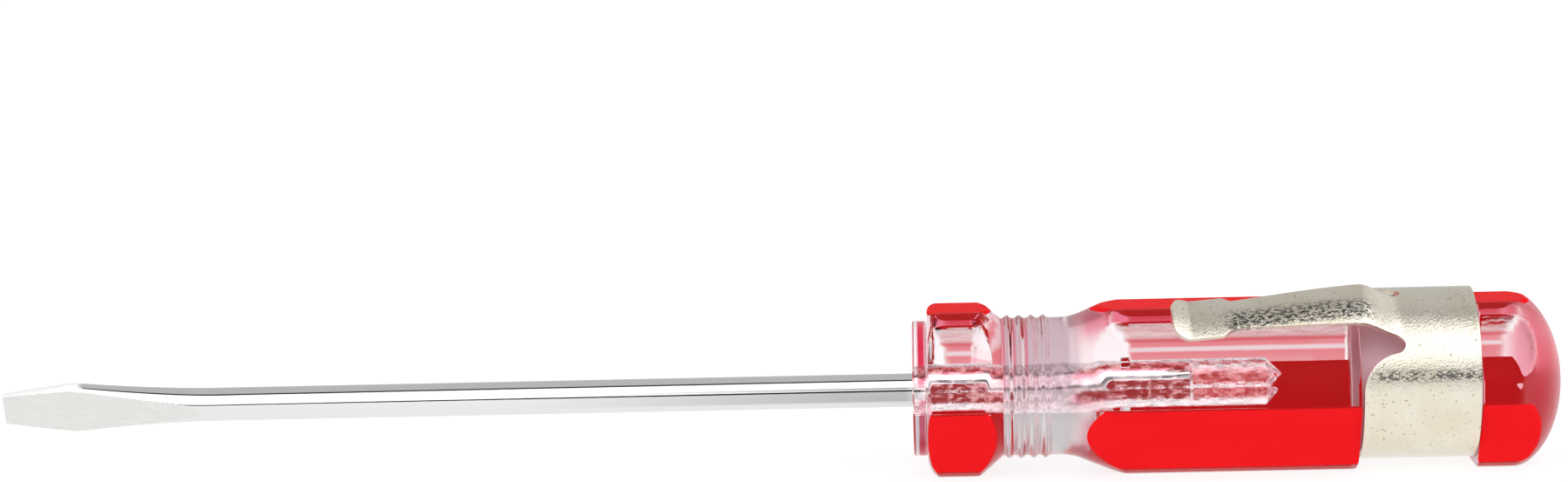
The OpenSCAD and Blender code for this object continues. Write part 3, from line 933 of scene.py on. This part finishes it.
# The arm: a strip whose middle line runs over the hump to the foot and out along the lip. Across, it
# is an arc that opens from the ring's radius to the crown's.
def clipArm(ring, shift, rootX):
    size = clipSizes
    rootHigh, rootHalf, notch = ring + shift, size["rootWidth"] / 2, size["notchRadius"]
    footHigh = cornerRadius + size["footGap"] + size["sheet"]
    footHalf, neckHalf, riser = size["footWidth"] / 2, size["neckWidth"] / 2, size["riser"]
    crestX = rootX - riser
    foldX = crestX - size["reach"]
    crossShare = np.linspace(-1, 1, size["samplesAcross"])

    def middleLine(x):
        climb = rootHigh + (size["humpHeight"] - rootHigh) * smoothStep((rootX - x) / riser)
        share = rise(-x, -crestX, size["reach"])
        fall = size["easeShare"] * smoothStep(share) + (1 - size["easeShare"]) * share ** size["fallPower"]
        return np.where(x > crestX, climb, size["humpHeight"] - (size["humpHeight"] - footHigh) * fall)

    notchX = rootX - notch + notch * np.sin(np.linspace(np.pi / 2, 0, 14))
    stations = np.concatenate([notchX, np.linspace(rootX - notch, crestX, 16)[1:],
                               np.linspace(crestX, foldX, 90)[1:]])
    high = middleLine(stations)
    small = 0.01
    slope = np.arctan2(middleLine(stations - small) - middleLine(stations + small), 2 * small)
    slope[0] = 0
    # At the fold the sheet leans halfway between the arm's slope and the lip's
    lipAngle = np.radians(size["lipAngle"])
    fold = (1 - rise(stations, foldX, size["lipFold"])) / 2
    slope = slope * (1 - fold) + lipAngle * fold
    distance = rootX - stations
    neckAt = riser + size["reach"] - size["footLength"] - size["shoulder"]
    spread = rootHalf + notch - np.sqrt(np.clip(notch ** 2 - (stations - rootX + notch) ** 2, 0, None))
    taper = rootHalf + (neckHalf - rootHalf) * rise(distance, riser, neckAt - riser)
    soft = size["shoulderSoft"]
    shoulder = smoothStep((distance - neckAt + soft) / (size["shoulder"] + 2 * soft))
    half = np.where(stations > rootX - notch, spread, taper + (footHalf - neckHalf) * shoulder)
    crown = ring + (size["crownRadius"] - ring) * rise(distance, 0, riser)
    # Lip with its rounded corners
    lip = size["lip"] * np.sin(np.linspace(0, np.pi / 2, 20))[1:]
    into = np.clip(lip - (size["lip"] - size["lipRadius"]), 0, None)
    corner = np.sqrt(np.clip(size["lipRadius"] ** 2 - into ** 2, 0, None)) - size["lipRadius"]
    stations = np.concatenate([stations, foldX - lip * np.cos(lipAngle)])
    high = np.concatenate([high, footHigh + lip * np.sin(lipAngle)])
    slope = np.concatenate([slope, np.full(len(lip), lipAngle)])
    half = np.concatenate([half, footHalf + corner])
    crown = np.concatenate([crown, np.full(len(lip), size["crownRadius"])])[:, None]
    bend = half[:, None] * crossShare / crown
    sag = crown * (1 - np.cos(bend))
    points = clipPlace(crown * np.sin(bend), high[:, None] - sag * np.cos(slope)[:, None],
                       stations[:, None] - sag * np.sin(slope)[:, None])
    return points.reshape(-1, 3), gridFaces(len(stations), len(crossShare), False)


# One sheet, given its wall inwards and its edges broken
def makeClip():
    size = clipSizes
    ring = size["ringDiameter"] / 2
    shift = ring - size["sheet"] - size["grooveDiameter"] / 2 - size["fit"]
    rootX = size["ringAt"] + size["notchDepth"]
    ringPoints, ringFaces = clipRing(ring, shift, rootX)
    armPoints, armFaces = clipArm(ring, shift, rootX)
    faces = ringFaces.tolist() + (armFaces + len(ringPoints)).tolist()
    clip = makeMesh("clip_sheet", np.vstack([ringPoints, armPoints]), faces)
    turnOutwards(clip, size["merge"], openSheet=True)
    wall = clip.modifiers.new("wall", "SOLIDIFY")
    wall.thickness = size["sheet"] * millimetre
    wall.offset = -1
    wall.use_even_offset = True
    bevel = clip.modifiers.new("edges", "BEVEL")
    bevel.width = size["bevel"] * millimetre
    bevel.segments = 3
    bevel.limit_method = "ANGLE"
    bevel.angle_limit = np.radians(size["bevelAngle"])
    applyModifiers(clip)
    markPaintedReflectionSpecks(clip)
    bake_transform(clip)
    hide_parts("clip_ring", "clip_arm")
    return clip


# Where the dark specks of painted reflection lie. A start or an end has its place and its soft length, and
# the ring's band its middle, half width and soft edge in degrees.
paintedReflectionSpecks = {
    "armStart": (101.2, 1.2),
    "armEnd": (114.2, 1.0),
    "lowerEdge": (-1.75, 0.25),
    "upperEdge": (0.5, 0.8),
    "leastOut": 7,
    "ringBand": (11.8, 1.8, 3),
    "ringStart": (113.2, 1),
    "ringShare": 0.9,
}


# Share of dark specks, a painted dark reflection: a strip along the lower half of the arm, between its foot
# and its riser, and a narrow band along the ring below the arm
def markPaintedReflectionSpecks(clip):
    x, y, z = pointsOf(clip).T
    turn = np.radians(clipSizes["turn"])
    across = y * np.sin(turn) + z * np.cos(turn)
    out = z * np.sin(turn) - y * np.cos(turn)
    last, lastSoft = paintedReflectionSpecks["armEnd"]
    upper, upperSoft = paintedReflectionSpecks["upperEdge"]
    arm = rise(x, *paintedReflectionSpecks["armStart"]) * rise(-x, -last, lastSoft) * (out > paintedReflectionSpecks["leastOut"])
    arm *= rise(across, *paintedReflectionSpecks["lowerEdge"]) * rise(-across, -upper, upperSoft)
    ring = band(np.degrees(np.arctan2(z, -y)), *paintedReflectionSpecks["ringBand"]) * rise(x, *paintedReflectionSpecks["ringStart"])
    mark(clip, "paintedReflectionSpecks", np.maximum(arm, paintedReflectionSpecks["ringShare"] * ring))


nickelLook = {
    "tones": ((0.76, 0.705, 0.575), (0.82, 0.77, 0.665)),
    "toneScale": (260, 260, 260),
    "pitted": (0.34, 0.24, 0.14),
    "pitScale": (3400, 3400, 3400),
    "pits": (0.62, 0.7, 0, 0.75),        # noise from and to, and the share of the colour at each
    # colour of the painted dark reflection in the specks
    "paintedDarkReflection": (0.05, 0.05, 0.055),
    "speckScale": (2600, 5200, 5200),
    "specks": (0.48, 0.53, 0, 0.95),
    "roughness": (0.03, 0.08),
    "roughnessScale": (900, 900, 900),
    "grainScale": (6400, 6400, 6400),
    "wavesScale": (1300, 2200, 2200),
    "wavesHeight": 0.35,
    "bump": (0.05, 0.8),
}


# Yellowish nickel with small brown pits all over, and dark specks of painted reflection on the arm and ring
def clipNickel():
    look = nickelLook
    nodes = newMaterial("clip_nickel_plated")
    tone = nodes.tones(nodes.noise(look["toneScale"]), *look["tones"])
    pits = nodes.between(nodes.noise(look["pitScale"], 3.0, 0.6), *look["pits"])
    pitted = nodes.mix(pits, tone, look["pitted"])
    specks = nodes.between(nodes.noise(look["speckScale"], 4.0, 0.7), *look["specks"])
    # Dark specks of painted reflection on the lower arm and along the ring
    paintedDarkReflection = nodes.mix(nodes.times(nodes.attribute("paintedReflectionSpecks"), specks), pitted, look["paintedDarkReflection"])
    nodes.shade(Metallic=1.0, Base_Color=paintedDarkReflection,
                Roughness=nodes.spread(nodes.noise(look["roughnessScale"]), *look["roughness"]))
    grain = nodes.noise(look["grainScale"], 3.0, 0.6)
    waves = nodes.times(nodes.noise(look["wavesScale"]), look["wavesHeight"])
    nodes.bump(nodes.plus(grain, waves), *look["bump"])
    return nodes.owner


dress(makeHandle(), clearPlastic())
print("handle made")
steel = bladeSteel()
dress(makeBlade(), steel)
dress(makeWings(), steel)
print("blade made")
dress(makeClip(), clipNickel())
print("clip made")
red = redPlastic()
for name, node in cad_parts.items():
    if "panel" in name:
        for slot in node.material_slots:
            slot.material = red
print("red flats dressed")


# Studio

studio = {
    "floorHalf": 3000,
    "floorCells": 8,
    "floorGap": 0.02,
    "floorTones": ((0.25, 0.25, 0.25), (0.245, 0.245, 0.245)),
    "floorScale": (30, 30, 30),
    "floorRoughness": 0.9,
    "floorGlow": 0.8,
    # Angle about X and brightness
    "banks": (
        (0, 0.3), (3, 0.03), (10, 0.03),
        (13, 1.6), (74, 1.6),
        (77, 0.03), (85, 0.03),
        (89, 0.6), (180, 0.6),
    ),
    "skew": 25,
    "side": (0.3, 0.45, 1.35),       # X of the direction where it starts and ends, and how much brighter
}


def makeFloor():
    low = cadBounds[0][2] / millimetre - studio["floorGap"]
    samples = studio["floorCells"] + 1
    share = np.linspace(-studio["floorHalf"], studio["floorHalf"], samples)
    y, x = np.meshgrid(share, share, indexing="ij")
    points = np.stack([x, y, np.full_like(x, low)], -1).reshape(-1, 3)
    floor = makeMesh("floor", points, gridFaces(samples, samples, False).tolist())
    nodes = newMaterial("floor_paper")
    paper = nodes.mix(nodes.noise(studio["floorScale"]), *studio["floorTones"])
    nodes.shade(Roughness=studio["floorRoughness"], Base_Color=paper,
                Emission_Color=(1, 1, 1, 1), Emission_Strength=studio["floorGlow"])
    dress(floor, nodes.owner)


# Soft light all round: a wide bright bank in front, up to overhead, and a dimmer one behind, with a
# narrow dark gap just above the horizon and another between the two banks. The banks lie a little
# askew, as their angle changes with the X of the direction, and are brighter towards the handle's end.
def makeLight():
    nodes = Nodes(bpy.data.worlds.new("studio"), "Background")
    scene.world = nodes.owner
    parts = nodes.add("ShaderNodeSeparateXYZ")
    nodes.join(nodes.add("ShaderNodeTexCoord").outputs["Generated"], parts.inputs["Vector"])
    angle = nodes.calculate("ARCTAN2", parts.outputs["Z"], nodes.times(parts.outputs["Y"], -1))
    askew = nodes.plus(nodes.times(parts.outputs["X"], -np.radians(studio["skew"])), angle)
    ramp = nodes.add("ShaderNodeValToRGB")
    nodes.connect(ramp, Fac=nodes.calculate("DIVIDE", askew, np.pi))
    brightest = max(value for _, value in studio["banks"])
    elements = ramp.color_ramp.elements
    while len(elements) < len(studio["banks"]):
        elements.new(1)
    for element, (degrees, value) in zip(elements, studio["banks"]):
        element.position = degrees / 180
        element.color = (value / brightest, value / brightest, value / brightest, 1)
    first, last, more = studio["side"]
    side = nodes.between(parts.outputs["X"], first, last, brightest, brightest * more)
    nodes.shade(Color=ramp.outputs["Color"], Strength=side)


# Camera: place, turn and lens worked out from the photograph

cameraSizes = {
    "place": (78.22, -329.16, 55.44),
    "azimuth": 2.16,
    "elevation": 7.41,
    "roll": -1.53,
    "focalPixels": 4599,
    "imageWidth": 1800,
    "imageShift": 1.9,
    "sensorWidth": 36,
    "nearest": 10,
}


def makeCamera():
    size = cameraSizes
    azimuth, elevation, roll = (np.radians(size[key]) for key in ("azimuth", "elevation", "roll"))
    level = np.cos(elevation)
    ahead = np.array([-np.sin(azimuth) * level, np.cos(azimuth) * level, -np.sin(elevation)])
    right = np.cross(ahead, [0, 0, 1])
    right /= np.linalg.norm(right)
    up = np.cross(right, ahead)
    turnedRight = right * np.cos(roll) + up * np.sin(roll)
    turnedUp = up * np.cos(roll) - right * np.sin(roll)
    data = bpy.data.cameras.new("camera")
    data.sensor_width = size["sensorWidth"]
    data.lens = size["focalPixels"] / size["imageWidth"] * data.sensor_width
    data.shift_y = size["imageShift"] / size["imageWidth"]
    data.clip_start = size["nearest"] * millimetre
    camera = bpy.data.objects.new("camera", data)
    scene.collection.objects.link(camera)
    matrix = Matrix(np.column_stack([turnedRight, turnedUp, -ahead]).tolist()).to_4x4()
    matrix.translation = Vector(size["place"]) * millimetre
    camera.matrix_world = matrix
    scene.camera = camera


makeFloor()
makeLight()
makeCamera()
scene.view_settings.view_transform = "Standard"
print("studio made")
